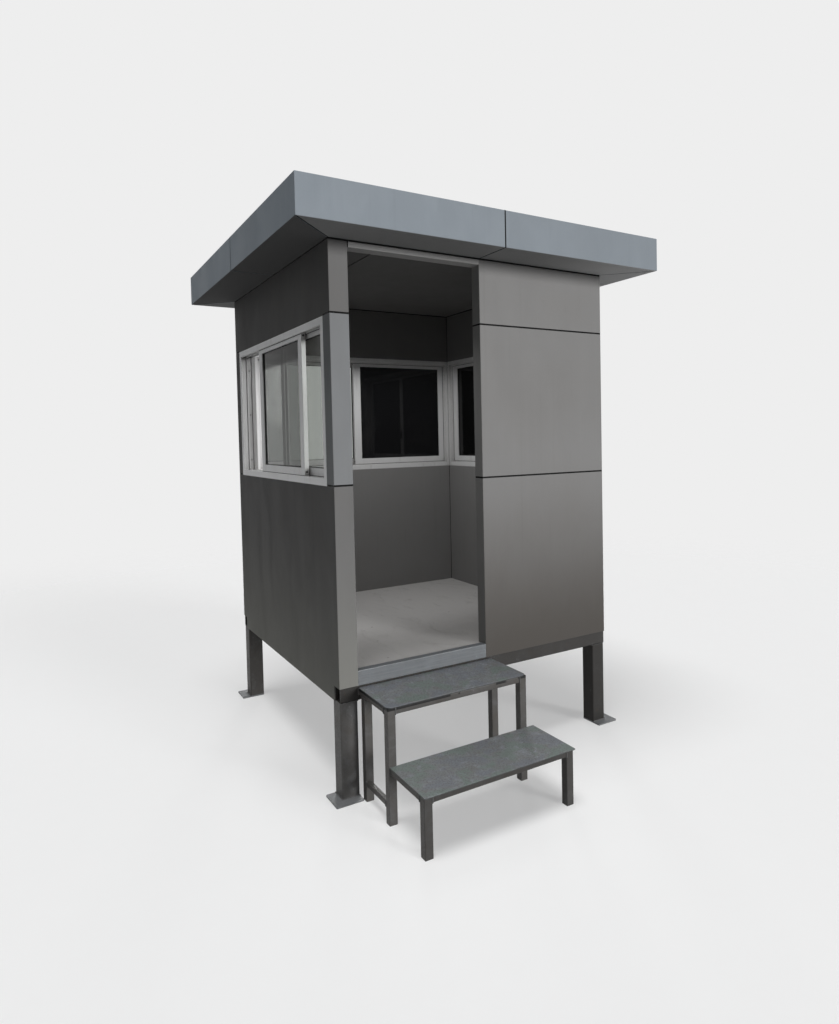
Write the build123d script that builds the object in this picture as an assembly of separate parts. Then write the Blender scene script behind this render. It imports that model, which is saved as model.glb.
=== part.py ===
from build123d import *
import os

# Guard booth on four steel legs: a welded box-section base, posts and rails clad inside
# and out with folded composite sheet, sliding windows on three sides, an open doorway,
# a flat roof behind a deep fascia, and a free-standing two-tread steel step.
# X runs along the front, +Y goes into the booth, Z is up. The origin is on the ground,
# under the middle of the box that holds the roof and the step.

# overall sizes
body_width = 1700            # outside of the cladding, along the front
body_depth = 1700            # outside of the cladding, front to back
ground_clearance = 470       # ground to the underside of the base frame
roof_overhang = 230
fascia_height = 185

# base and floor
base_beam_width = 60
base_beam_height = 120
base_beam_wall = 3
joist_width = 40
joist_height = 80
joist_wall = 3
inner_joist_count = 3
floor_thickness = 20
front_reveal = 72            # base beam left bare under the front and back cladding
corner_notch = 66            # side cladding cut away round the open end of the base beam
leg_size = 90
leg_wall = 4
base_plate_size = 140
base_plate_thickness = 8

# walls and doorway
sheet = 4                    # composite sheet of cladding, lining, ceiling and fascia
fold_radius = 3              # outside radius of a folded sheet
joint = 9                    # open joint between sheets
post_size = 90
post_wall = 3
front_stud_depth = 66        # the front wall is thinner than the others
door_post_width = 50
door_width = 742
door_height = 2020           # floor to the underside of the header
header_height = 35
sill_height = 898            # floor to the middle of the joint at the window sills
head_height = 1710           # floor to the middle of the joint at the window heads
window_rail_height = 40
top_rail_height = 60
cover_gap = 1                # edge of a corner cover to the window frame beside it
side_panel_return = 98       # how far a side sheet is folded round on to the back
lining_gap = 6               # open joint in the inner corners of the lining
ceiling_joint_offset = 304   # left face of the booth to the joint in the ceiling
sheet_seat = 35              # how far the soffit lies over the top rails
threshold_thickness = 3
threshold_flange = 40

# sliding windows
window_lip = 7               # outer flange of the frame that laps the corner post
window_clearance = 1         # frame to post
frame_face = 36              # width of the frame seen from outside
groove_depth = 10            # how far a sash runs in its track
track_width = 26
track_inset = 10             # outer face of the frame to the outer track
track_rib = 6                # rib between the two tracks
sash_thickness = 24
sash_stile = 54
sash_bottom_rail = 52
sash_top_rail = 34
sash_overlap = 60            # how far two closed sashes lap
sash_play = 0.5
glass_thickness = 5
glass_rebate = 8
glass_play = 0.3
left_window_open = 392       # outer sash slid forward off the back jamb
right_window_open = 22       # inner sash slid off the back jamb

# roof
fascia_return = 40
corner_gap = 0.3             # mitred corners of the fascia
soffit_joint = 8
rafter_width = 40
rafter_front_depth = 120
rafter_back_depth = 90
rafter_wall = 3
rafter_count = 5
roof_sheet_thickness = 1.5
roof_rib_height = 20
roof_rib_foot = 60
roof_rib_crown = 26
roof_rib_count = 9
roof_edge_gap = 2
roof_sheet_play = 0.3

# step
upper_tread_width = 770
upper_tread_depth = 313
upper_tread_height = 533     # ground to the top of the upper tread
lower_tread_width = 804
lower_tread_depth = 320
lower_tread_height = 267
lower_tread_shift = 4        # lower tread starts this far to the right of the upper one
tread_plate = 5
upper_tread_corner = 25
lower_tread_corner = 6
upper_tread_back_gap = 6     # upper tread to the face of the base beam
step_leg_size = 40
step_leg_wall = 2
step_rail_width = 36
step_rail_height = 30
back_leg_inset = 29          # back legs of the upper tread stand forward of the beam
lower_overhang = 13          # lower tread past its front legs
lower_side_overhang = 4
brace_size = 25              # low side braces of the upper tread's stand
brace_height = 76            # ground to the underside of the braces

# levels
frame_bottom = ground_clearance
frame_top = frame_bottom + base_beam_height
floor_top = frame_top + floor_thickness
front_sheet_bottom = frame_bottom + front_reveal
door_top = floor_top + door_height
wall_top = door_top + header_height
roof_top = wall_top + fascia_height
sill_level = floor_top + sill_height - joint / 2
sill_joint_top = sill_level + joint
head_level = floor_top + head_height - joint / 2
head_joint_top = head_level + joint
sheet_top = wall_top - joint
opening_bottom = sill_level + frame_face
opening_top = head_level - frame_face

# plan lines
step_reach = upper_tread_depth + lower_tread_depth
front_extent = max(step_reach, roof_overhang)
front = (front_extent - body_depth - roof_overhang) / 2
back = front + body_depth
left = -body_width / 2
right = body_width / 2
middle_y = (front + back) / 2
frame_left = left + sheet
frame_right = right - sheet
frame_front = front + sheet
frame_back = back - sheet
post_left = frame_left + post_size
post_right = frame_right - post_size
post_front = frame_front + post_size
post_back = frame_back - post_size
room_left = post_left + sheet
room_right = post_right - sheet
room_back = post_back - sheet
stud_back = frame_front + front_stud_depth
room_front = stud_back + sheet
door_left = room_left
door_right = door_left + door_width
front_beam_back = frame_front + base_beam_width
back_beam_front = frame_back - base_beam_width
corner_cover_flange = sheet + post_size + window_clearance - window_lip - cover_gap


def block(x0, x1, y0, y1, z0, z1):
    low = (Align.MIN, Align.MIN, Align.MIN)
    return Pos(x0, y0, z0) * Box(x1 - x0, y1 - y0, z1 - z0, align=low)


def section_tube(size_x, size_y, wall, length):
    # rolled hollow section with rounded corners and a square bore, standing on z = 0
    outer = RectangleRounded(size_x, size_y, 2 * wall)
    inner = Rectangle(size_x - 2 * wall, size_y - 2 * wall)
    return extrude(outer - inner, length)


def upright(x0, y0, z0, z1, size_x, size_y, wall):
    centre = Pos(x0 + size_x / 2, y0 + size_y / 2, z0)
    return centre * section_tube(size_x, size_y, wall, z1 - z0)


def rail_along_x(x0, x1, y0, z0, size_y, size_z, wall):
    centre = Pos(x0, y0 + size_y / 2, z0 + size_z / 2)
    return centre * Rot(0, 90, 0) * section_tube(size_z, size_y, wall, x1 - x0)


def rail_along_y(y0, y1, x0, z0, size_x, size_z, wall):
    centre = Pos(x0 + size_x / 2, y0, z0 + size_z / 2)
    return centre * Rot(-90, 0, 0) * section_tube(size_x, size_z, wall, y1 - y0)


def folded_face(path, thickness, side, radius):
    # cross-section of a sheet folded along a path, with its outer folds rounded
    strip = offset(Polyline(*path), amount=thickness, side=side, kind=Kind.INTERSECTION, closed=True)
    face = make_face(strip.edges())
    folds = [Vector(*point) for point in path[1:-1]]
    corners = [v for v in face.vertices() if any((Vector(v) - fold).length < 0.01 for fold in folds)]
    return fillet(corners, radius) if radius else face


def folded_sheet(path, z0, z1, side=Side.RIGHT, radius=fold_radius):
    return Pos(0, 0, z0) * extrude(folded_face(path, sheet, side, radius), z1 - z0)


def save(name, *solids):
    shape = solids[0] if len(solids) == 1 else Compound(children=list(solids))
    export_step(shape, f"parts/{name}.step")


os.makedirs("parts", exist_ok=True)


# ---- legs: square tubes, each welded to the inner corner of its base plate ----
def leg(at_left, at_front):
    x0 = frame_left if at_left else frame_right - leg_size
    y0 = frame_front if at_front else frame_back - leg_size
    plate_x = x0 + leg_size - base_plate_size if at_left else x0
    plate_y = y0 + leg_size - base_plate_size if at_front else y0
    plate = block(0, base_plate_size, 0, base_plate_size, 0, base_plate_thickness)
    plate = Pos(plate_x, plate_y, 0) * plate
    plate = chamfer(plate.edges().filter_by(Axis.Z), base_plate_thickness / 2)
    tube = upright(x0, y0, base_plate_thickness, frame_bottom, leg_size, leg_size, leg_wall)
    return plate + tube


save("leg_front_left", leg(True, True))
save("leg_front_right", leg(False, True))
save("leg_back_left", leg(True, False))
save("leg_back_right", leg(False, False))

# ---- base frame: front and back beams run the full width with open ends ----
base_section = (base_beam_width, base_beam_height, base_beam_wall)
base_beams = [
    rail_along_x(frame_left, frame_right, beam_y, frame_bottom, *base_section)
    for beam_y in (frame_front, back_beam_front)
]
save("base_beams", *base_beams)

edge_joists = [
    rail_along_y(front_beam_back, back_beam_front, joist_x, frame_bottom, *base_section)
    for joist_x in (frame_left, frame_right - base_beam_width)
]
joist_section = (joist_width, joist_height, joist_wall)
joist_bottom = frame_top - joist_height
joist_span = (frame_right - base_beam_width) - (frame_left + base_beam_width)
joist_pitch = joist_span / (inner_joist_count + 1)
inner_joists = []
for index in range(inner_joist_count):
    joist_x = frame_left + base_beam_width + (index + 1) * joist_pitch - joist_width / 2
    joist = rail_along_y(front_beam_back, back_beam_front, joist_x, joist_bottom, *joist_section)
    inner_joists.append(joist)
save("floor_joists", *edge_joists, *inner_joists)

# ---- posts and rails inside the walls ----
corner_posts = [
    upright(x, y, frame_top, wall_top, post_size, post_size, post_wall)
    for x in (frame_left, post_right)
    for y in (frame_front, post_back)
]
door_post_left = door_right + sheet
door_post_right = door_post_left + door_post_width
door_post = upright(
    door_post_left, frame_front, frame_top, wall_top, door_post_width, front_stud_depth, post_wall
)
save("wall_posts", *corner_posts, door_post)

rail_levels = [
    (sill_level - window_rail_height, window_rail_height),
    (head_level, window_rail_height),
    (wall_top - top_rail_height, top_rail_height),
]
wall_rails = []
for rail_z, rail_height in rail_levels:
    section = (post_size, rail_height, post_wall)
    front_section = (front_stud_depth, rail_height, post_wall)
    for rail_x in (frame_left, post_right):
        wall_rails.append(rail_along_y(post_front, post_back, rail_x, rail_z, *section))
    wall_rails.append(rail_along_x(post_left, post_right, post_back, rail_z, *section))
    wall_rails.append(rail_along_x(door_post_right, post_right, frame_front, rail_z, *front_section))
header_rail_bottom = door_top + sheet
wall_rails.append(
    rail_along_x(
        post_left, door_post_left, frame_front, header_rail_bottom,
        front_stud_depth, wall_top - header_rail_bottom, post_wall,
    )
)
save("wall_rails", *wall_rails)

# ---- floor board, notched round the posts, and the steel angle on its doorway edge ----
floor_board = block(frame_left, frame_right, frame_front, frame_back, frame_top, floor_top)
for post_x in (frame_left, post_right):
    for post_y in (frame_front, post_back):
        notch = block(0, post_size, 0, post_size, frame_top, floor_top)
        floor_board -= Pos(post_x, post_y, 0) * notch
floor_board -= block(door_post_left, door_post_right, frame_front, stud_back, frame_top, floor_top)
save("floor_board", floor_board)

threshold_top = floor_top + threshold_thickness
threshold_path = [
    (front, front_sheet_bottom),
    (front, threshold_top),
    (front + threshold_flange, threshold_top),
]
threshold_face = folded_face(threshold_path, threshold_thickness, Side.RIGHT, threshold_thickness / 2)
threshold = extrude(Plane.YZ * threshold_face, door_width)
save("door_threshold", Pos(door_left, sheet - threshold_thickness, 0) * threshold)


# ---- outer cladding ----
def bare_beam_ends(x0, x1):
    # what a side sheet leaves open at its two bottom corners
    return [
        block(x0, x1, front - 1, front + corner_notch, frame_bottom - 1, front_sheet_bottom),
        block(x0, x1, back - corner_notch, back + 1, frame_bottom - 1, front_sheet_bottom),
    ]


def joint_beside_window(x0, x1):
    # the joint over the corner covers, where an upper side sheet stops short of them
    return [
        block(x0, x1, front - 1, front + corner_cover_flange, head_level - 1, head_joint_top),
        block(x0, x1, back - corner_cover_flange, back + 1, head_level - 1, head_joint_top),
    ]


left_path = [
    (room_left, post_front),
    (room_left, front),
    (left, front),
    (left, back),
    (left + side_panel_return, back),
]
left_zone = (left - 1, room_left + 1)
left_lower = folded_sheet(left_path, frame_bottom, sill_level)
for cut in bare_beam_ends(*left_zone):
    left_lower -= cut
# the fold into the doorway stands on the floor and stops under the header
left_lower -= block(post_left, room_left, frame_front, post_front, frame_bottom, floor_top)
save("left_panel_lower", left_lower)
left_upper = folded_sheet(left_path, head_level, sheet_top)
for cut in joint_beside_window(*left_zone):
    left_upper -= cut
left_upper -= block(post_left, room_left, frame_front, post_front, door_top, wall_top)
save("left_panel_upper", left_upper)

right_path = [
    (right, front + corner_cover_flange + joint),
    (right, back),
    (right - side_panel_return, back),
]
right_zone = (room_right - 1, right + 1)
right_lower = folded_sheet(right_path, frame_bottom, sill_level, side=Side.LEFT)
for cut in bare_beam_ends(*right_zone):
    right_lower -= cut
save("right_panel_lower", right_lower)
right_upper = folded_sheet(right_path, head_level, sheet_top, side=Side.LEFT)
for cut in joint_beside_window(*right_zone):
    right_upper -= cut
save("right_panel_upper", right_upper)

back_panel_left = left + side_panel_return + joint
back_panel_right = right - side_panel_return - joint
back_panel = (back_panel_left, back_panel_right, back - sheet, back)
save("back_panel_lower", block(*back_panel, front_sheet_bottom, sill_level))
save("back_panel_upper", block(*back_panel, head_level, sheet_top))

front_path = [
    (door_right, stud_back),
    (door_right, front),
    (right, front),
    (right, front + corner_cover_flange),
]
front_tiers = {
    "front_panel_lower": (front_sheet_bottom, sill_level),
    "front_panel_middle": (sill_joint_top, head_level),
    "front_panel_upper": (head_joint_top, sheet_top),
}
for name, (tier_bottom, tier_top) in front_tiers.items():
    tier = folded_sheet(front_path, tier_bottom, tier_top, side=Side.LEFT)
    tier -= block(door_right, door_post_left, frame_front, stud_back, frame_bottom, floor_top)
    tier -= block(door_right, door_post_left, frame_front, stud_back, door_top, wall_top)
    save(name, tier)

front_cover_path = [
    (room_left, post_front),
    (room_left, front),
    (left, front),
    (left, front + corner_cover_flange),
]
save("corner_cover_front_left", folded_sheet(front_cover_path, sill_joint_top, head_level))
back_left_path = [(left, back - corner_cover_flange), (left, back), (left + corner_cover_flange, back)]
back_right_path = [(right, back - corner_cover_flange), (right, back), (right - corner_cover_flange, back)]
save(
    "corner_covers_back",
    folded_sheet(back_left_path, sill_joint_top, head_level),
    folded_sheet(back_right_path, sill_joint_top, head_level, side=Side.LEFT),
)

# ---- header over the doorway: a sheet folded up round the header rail ----
header_left = door_left + joint / 2
header_face = folded_face(
    [(front, sheet_top), (front, door_top), (room_front, door_top), (room_front, sheet_top)],
    sheet, Side.LEFT, fold_radius,
)
header = extrude(Plane.YZ * header_face, door_right - header_left)
save("door_header", Pos(header_left, 0, 0) * header)


# ---- inner lining and ceiling ----
def side_linings(z0, z1):
    left_start = post_front + window_clearance
    right_start = left_start + sheet + window_clearance
    return [
        block(post_left, room_left, left_start, room_back, z0, z1),
        block(room_left + lining_gap, room_right, room_back, post_back, z0, z1),
        block(room_right, post_right, right_start, room_back - lining_gap, z0, z1),
    ]


save("lining_below_windows", *side_linings(floor_top, sill_level))
save("lining_over_windows", *side_linings(head_level, wall_top))
front_lining_path = [
    (door_post_left, room_front),
    (room_right, room_front),
    (room_right, post_front + window_clearance),
]
save("lining_front", folded_sheet(front_lining_path, floor_top, wall_top, side=Side.RIGHT, radius=0))

ceiling_joint_x = left + ceiling_joint_offset
ceiling_margin = sheet_seat + joint
ceiling_parts = [
    (left + ceiling_margin, ceiling_joint_x - joint / 2),
    (ceiling_joint_x + joint / 2, right - ceiling_margin),
]
save(
    "ceiling",
    *[
        block(x0, x1, front + ceiling_margin, back - ceiling_margin, wall_top, wall_top + sheet)
        for x0, x1 in ceiling_parts
    ],
)

# ---- sliding windows, made in one place and turned on to each wall ----
# A window is built along local X, with its outer face at local y = 0 and +Y into the booth.
frame_depth = post_size + sheet
outer_track = track_inset
inner_track = outer_track + track_width + track_rib


def frame_half(wall_length):
    return wall_length / 2 - sheet - post_size - window_clearance


def opening_half(wall_length):
    return frame_half(wall_length) + window_lip - frame_face


def window_frame(wall_length):
    half = frame_half(wall_length)
    opening = opening_half(wall_length)
    body = block(-half, half, 0, frame_depth, sill_level, head_level)
    body += block(-half - window_lip, half + window_lip, 0, sheet, sill_level, head_level)
    body -= block(-opening, opening, -1, frame_depth + 1, opening_bottom, opening_top)
    for track in (outer_track, inner_track):
        body -= block(
            -opening - groove_depth, opening + groove_depth, track, track + track_width,
            opening_bottom - groove_depth, opening_top + groove_depth,
        )
    # the inside of the frame steps back behind the tracks
    step = (inner_track + track_width + track_rib, frame_depth + 1)
    body -= block(
        -opening - groove_depth, opening + groove_depth, *step,
        opening_bottom - groove_depth / 2, opening_top + groove_depth,
    )
    return body


def sash_width(wall_length):
    return (2 * (opening_half(wall_length) + groove_depth - sash_play) + sash_overlap) / 2


def sash_pair(wall_length, at_low_end, slid, track):
    # one sash and its pane, in the outer or inner track, slid off the jamb it closes on
    limit = opening_half(wall_length) + groove_depth - sash_play
    width = sash_width(wall_length)
    x0 = -limit + slid if at_low_end else limit - width - slid
    x1 = x0 + width
    y0 = track + (track_width - sash_thickness) / 2
    y1 = y0 + sash_thickness
    z0 = opening_bottom - groove_depth + sash_play
    z1 = opening_top + groove_depth - sash_play
    light = (x0 + sash_stile, x1 - sash_stile, z0 + sash_bottom_rail, z1 - sash_top_rail)
    pane_y = (y0 + y1 - glass_thickness) / 2
    sash = block(x0, x1, y0, y1, z0, z1)
    sash = chamfer(sash.edges().filter_by(Axis.Z), 1)
    sash -= block(light[0], light[1], y0 - 1, y1 + 1, light[2], light[3])
    sash -= block(
        light[0] - glass_rebate, light[1] + glass_rebate,
        pane_y - glass_play, pane_y + glass_thickness + glass_play,
        light[2] - glass_rebate, light[3] + glass_rebate,
    )
    pane = block(
        light[0] - glass_rebate + glass_play, light[1] + glass_rebate - glass_play,
        pane_y, pane_y + glass_thickness,
        light[2] - glass_rebate + glass_play, light[3] + glass_rebate - glass_play,
    )
    return sash, pane


def window(name, place, wall_length, outer_at_low_end, outer_slid, inner_slid):
    outer_sash, outer_pane = sash_pair(wall_length, outer_at_low_end, outer_slid, outer_track)
    inner_sash, inner_pane = sash_pair(wall_length, not outer_at_low_end, inner_slid, inner_track)
    save(f"{name}_frame", place * window_frame(wall_length))
    save(f"{name}_sashes", place * outer_sash, place * inner_sash)
    save(f"{name}_glass", place * outer_pane, place * inner_pane)


on_left = Pos(left, middle_y, 0) * Rot(0, 0, -90)
on_back = Pos(0, back, 0) * Rot(0, 0, 180)
on_right = Pos(right, middle_y, 0) * Rot(0, 0, 90)
window("left_window", on_left, body_depth, True, left_window_open, 0)
window("back_window", on_back, body_width, False, 0, 0)
window("right_window", on_right, body_depth, True, 0, right_window_open)


# ---- roof: rafters with a slight fall, ribbed sheet, folded fascia and soffit ----
roof_left = left - roof_overhang + sheet
roof_right = right + roof_overhang - sheet
roof_front = front - roof_overhang + sheet
roof_back = back + roof_overhang - sheet
rafter_bottom = wall_top + sheet


def rafter(x0):
    outline = [
        (roof_front, rafter_bottom),
        (roof_back, rafter_bottom),
        (roof_back, rafter_bottom + rafter_back_depth),
        (roof_front, rafter_bottom + rafter_front_depth),
    ]
    bore = [
        (roof_front - 1, rafter_bottom + rafter_wall),
        (roof_back + 1, rafter_bottom + rafter_wall),
        (roof_back + 1, rafter_bottom + rafter_back_depth - rafter_wall),
        (roof_front - 1, rafter_bottom + rafter_front_depth - rafter_wall),
    ]
    outer = extrude(Plane.YZ * make_face(Polyline(*outline, close=True)), rafter_width)
    inner = extrude(Plane.YZ * make_face(Polyline(*bore, close=True)), rafter_width - 2 * rafter_wall)
    return Pos(x0, 0, 0) * (outer - Pos(rafter_wall, 0, 0) * inner)


rafter_pitch = (roof_right - roof_left - rafter_width) / (rafter_count - 1)
save("roof_rafters", *[rafter(roof_left + index * rafter_pitch) for index in range(rafter_count)])

rib_pitch = (roof_right - roof_left - 2 * roof_edge_gap) / roof_rib_count
rib_path = [(roof_left + roof_edge_gap, 0)]
for index in range(roof_rib_count):
    rib_x = roof_left + roof_edge_gap + (index + 0.5) * rib_pitch
    rib_path += [
        (rib_x - roof_rib_foot / 2, 0),
        (rib_x - roof_rib_crown / 2, roof_rib_height),
        (rib_x + roof_rib_crown / 2, roof_rib_height),
        (rib_x + roof_rib_foot / 2, 0),
    ]
rib_path.append((roof_right - roof_edge_gap, 0))
rib_face = folded_face(rib_path, roof_sheet_thickness, Side.LEFT, 0)
roof_run = roof_back - roof_front - 2 * roof_edge_gap
fall = (rafter_front_depth - rafter_back_depth) / (roof_back - roof_front)
ribbed = Rot(90, 0, 0) * extrude(rib_face, -roof_run)
fall_angle = Vector(1, 0, 0).get_angle(Vector(1, fall, 0))
sheet_level = rafter_bottom + rafter_front_depth + roof_sheet_play - fall * roof_edge_gap
save("roof_sheet", Pos(0, roof_front + roof_edge_gap, sheet_level) * Rot(-fall_angle, 0, 0) * ribbed)


def fascia(wall_length):
    # one side of the roof edge, along local X, with the wall's face at local y = 0 and
    # the outside towards -Y: top return, upright face and soffit folded from one sheet
    half = wall_length / 2 + roof_overhang
    path = [
        (-roof_overhang + fascia_return, roof_top),
        (-roof_overhang, roof_top),
        (-roof_overhang, wall_top),
        (sheet_seat, wall_top),
    ]
    face = Plane.YZ * folded_face(path, sheet, Side.LEFT, fold_radius)
    piece = Pos(-half, 0, 0) * extrude(face, 2 * half)
    depth = roof_overhang + sheet_seat
    end = half - corner_gap
    mitred = [
        (-end, -roof_overhang),
        (end, -roof_overhang),
        (end - depth, sheet_seat),
        (depth - end, sheet_seat),
    ]
    mitre = Pos(0, 0, wall_top) * extrude(make_face(Polyline(*mitred, close=True)), fascia_height)
    piece = piece & mitre
    # the soffit stops short of the mitre line and leaves an open joint
    slit = soffit_joint / 2 * 2 ** 0.5
    for turn in (1, -1):
        gap = [
            (turn * (half - sheet - slit), -roof_overhang + sheet),
            (turn * (half - sheet + slit), -roof_overhang + sheet),
            (turn * (half - depth + slit), sheet_seat),
            (turn * (half - depth - slit), sheet_seat),
        ]
        piece -= Pos(0, 0, wall_top) * extrude(make_face(Polyline(*gap, close=True)), sheet)
    middle_cut = (-soffit_joint / 2, soffit_joint / 2, -roof_overhang - 1, sheet_seat + 1)
    piece -= block(*middle_cut, wall_top - 1, roof_top + 1)
    return piece.solids()


for name, place, wall_length in (
    ("fascia_front", Pos(0, front, 0), body_width),
    ("fascia_back", on_back, body_width),
    ("fascia_left", on_left, body_depth),
    ("fascia_right", on_right, body_depth),
):
    save(name, *[place * half_piece for half_piece in fascia(wall_length)])


# ---- step: two plates on a welded stand of small square tube ----
upper_left = door_left
upper_right = upper_left + upper_tread_width
upper_front = front - upper_tread_depth
upper_plate_bottom = upper_tread_height - tread_plate
lower_left = upper_left + lower_tread_shift
lower_right = lower_left + lower_tread_width
lower_front = upper_front - lower_tread_depth
lower_plate_bottom = lower_tread_height - tread_plate
upper_leg_back = upper_front + step_leg_size


def tread(plan, z0, corner):
    plate = block(*plan, z0, z0 + tread_plate)
    front_corners = plate.edges().filter_by(Axis.Z).group_by(Axis.Y)[0]
    plate = fillet(front_corners, corner)
    return chamfer(plate.faces().sort_by(Axis.Z)[-1].edges(), 1)


upper_back = frame_front - upper_tread_back_gap
upper_plan = (upper_left, upper_right, upper_front, upper_back)
lower_plan = (lower_left, lower_right, lower_front, upper_front)
save("upper_tread", tread(upper_plan, upper_plate_bottom, upper_tread_corner))
save("lower_tread", tread(lower_plan, lower_plate_bottom, lower_tread_corner))

upper_rail_bottom = upper_plate_bottom - step_rail_height
lower_rail_bottom = lower_plate_bottom - step_rail_height
back_leg_front = frame_front - back_leg_inset - step_leg_size
lower_leg_front = lower_front + lower_overhang
lower_leg_left = lower_left + lower_side_overhang
lower_leg_right = lower_right - lower_side_overhang - step_leg_size


def step_leg(x0, y0, top):
    return upright(x0, y0, 0, top, step_leg_size, step_leg_size, step_leg_wall)


upper_leg_right = upper_right - step_leg_size
step_legs = []
for leg_x in (upper_left, upper_leg_right):
    step_legs.append(step_leg(leg_x, upper_front, upper_plate_bottom))
    step_legs.append(step_leg(leg_x, back_leg_front, upper_rail_bottom))
for leg_x in (lower_leg_left, lower_leg_right):
    step_legs.append(step_leg(leg_x, lower_leg_front, lower_plate_bottom))
save("step_legs", *step_legs)

rail_section = (step_rail_width, step_rail_height, step_leg_wall)
brace_section = (brace_size, brace_size, step_leg_wall)
upper_rail_start = upper_left + step_leg_size
lower_rail_start = lower_leg_left + step_leg_size
step_rails = [
    rail_along_x(upper_rail_start, upper_leg_right, upper_front, upper_rail_bottom, *rail_section),
    rail_along_x(lower_rail_start, lower_leg_right, lower_leg_front, lower_rail_bottom, *rail_section),
]
for rail_x in (upper_left, upper_right - step_rail_width):
    step_rails.append(rail_along_y(upper_leg_back, frame_front, rail_x, upper_rail_bottom, *rail_section))
for brace_x in (upper_left, upper_right - brace_size):
    step_rails.append(rail_along_y(upper_leg_back, back_leg_front, brace_x, brace_height, *brace_section))
for rail_x in (lower_leg_left, lower_leg_right + step_leg_size - step_rail_width):
    rail_front = lower_leg_front + step_leg_size
    step_rails.append(rail_along_y(rail_front, upper_front, rail_x, lower_rail_bottom, *rail_section))
save("step_rails", *step_rails)
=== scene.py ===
import math
import random

import bmesh
import bpy
from mathutils import Matrix, Vector


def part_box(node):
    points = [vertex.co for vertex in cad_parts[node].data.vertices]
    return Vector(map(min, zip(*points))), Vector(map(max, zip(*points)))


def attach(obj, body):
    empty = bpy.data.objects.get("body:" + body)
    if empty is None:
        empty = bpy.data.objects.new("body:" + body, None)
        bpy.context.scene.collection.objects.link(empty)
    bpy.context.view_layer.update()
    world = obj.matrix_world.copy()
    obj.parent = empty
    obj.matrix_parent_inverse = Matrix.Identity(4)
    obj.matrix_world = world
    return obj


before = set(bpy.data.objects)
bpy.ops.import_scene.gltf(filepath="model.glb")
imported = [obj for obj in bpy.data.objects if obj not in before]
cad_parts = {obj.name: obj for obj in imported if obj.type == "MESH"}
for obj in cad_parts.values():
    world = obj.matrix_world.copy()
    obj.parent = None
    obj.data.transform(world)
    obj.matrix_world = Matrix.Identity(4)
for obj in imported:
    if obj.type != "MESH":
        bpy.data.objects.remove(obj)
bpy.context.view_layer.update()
random.seed(7)
print("frame loaded,", len(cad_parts), "nodes")

# places in the booth that finishes and pieces are set out from
x, y, z = 0, 1, 2
sheet = 0.004
frameFace = 0.036  # width of a window frame seen from outside
basePlate = 0.008
left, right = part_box("left_panel_lower")[0].x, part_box("right_panel_lower")[1].x
front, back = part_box("front_panel_lower")[0].y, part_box("back_panel_lower")[1].y
doorLeft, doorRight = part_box("door_threshold")[0].x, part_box("door_threshold")[1].x
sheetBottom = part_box("front_panel_lower")[0].z
sillJoint = (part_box("front_panel_lower")[1].z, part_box("front_panel_middle")[0].z)
headJoint = (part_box("front_panel_middle")[1].z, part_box("front_panel_upper")[0].z)
topJoint = (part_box("front_panel_upper")[1].z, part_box("fascia_front")[0].z)
soffit = topJoint[1]
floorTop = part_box("floor_board")[1].z
liningLow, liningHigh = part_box("lining_below_windows")
roomLeft, roomRight = liningLow.x + sheet, liningHigh.x - sheet
roomFront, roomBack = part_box("lining_front")[1].y, liningHigh.y - sheet
treadLow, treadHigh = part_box("upper_tread")


# nodes are added and wired by these, so a material below reads from its pattern to its shader
def addNode(mat, kind, inputs=None, **settings):
    node = mat.node_tree.nodes.new("ShaderNode" + kind)
    for name, value in settings.items():
        setattr(node, name, value)
    for name, value in (inputs or {}).items():
        if isinstance(value, bpy.types.NodeSocket):
            mat.node_tree.links.new(value, node.inputs[name])
        else:
            node.inputs[name].default_value = value
    return node


def startMaterial(name):
    mat = bpy.data.materials.new(name)
    mat.use_nodes = True
    mat.node_tree.nodes.clear()
    return mat, addNode(mat, "TexCoord").outputs["Object"]


def finishMaterial(mat, color, roughness, normal, metal=0.0, sheen=0.5):
    shader = addNode(mat, "BsdfPrincipled", {
        "Base Color": color, "Roughness": roughness, "Normal": normal,
        "Metallic": metal, "Specular IOR Level": sheen,
    })
    addNode(mat, "OutputMaterial", {"Surface": shader.outputs["BSDF"]})
    return mat


def stretched(mat, place, alongX, alongY, alongZ):
    return addNode(mat, "Mapping", {"Vector": place, "Scale": (alongX, alongY, alongZ)}).outputs["Vector"]


def noise(mat, place, scale, detail=4.0, rough=0.55, distortion=0.0):
    inputs = {"Vector": place, "Scale": scale, "Detail": detail, "Roughness": rough}
    return addNode(mat, "TexNoise", inputs | {"Distortion": distortion}).outputs["Fac"]


def cells(mat, place, scale):
    return addNode(mat, "TexVoronoi", {"Vector": place, "Scale": scale}).outputs["Distance"]


def spread(mat, value, low, high, toLow=0.0, toHigh=1.0):
    inputs = {"Value": value, "From Min": low, "From Max": high, "To Min": toLow, "To Max": toHigh}
    return addNode(mat, "MapRange", inputs, interpolation_type="SMOOTHSTEP").outputs["Result"]


def calc(mat, operation, first, second=0.5):
    return addNode(mat, "Math", {0: first, 1: second}, operation=operation).outputs["Value"]


def blendColors(mat, factor, first, second):
    return addNode(mat, "Mix", {0: factor, 6: first, 7: second}, data_type="RGBA").outputs[2]


def layer(mat, under, pattern, low, high, share, over):
    # where the pattern goes from low to high, this share of what is under it is covered
    return blendColors(mat, spread(mat, pattern, low, high, 0.0, share), under, over)


def relief(mat, height, strength, distance, normal=None):
    inputs = {"Height": height, "Strength": strength, "Distance": distance}
    if normal is not None:
        inputs["Normal"] = normal
    return addNode(mat, "Bump", inputs).outputs["Normal"]


def softEdge(mat, radius):
    return addNode(mat, "Bevel", {"Radius": radius}, samples=4).outputs["Normal"]


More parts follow.
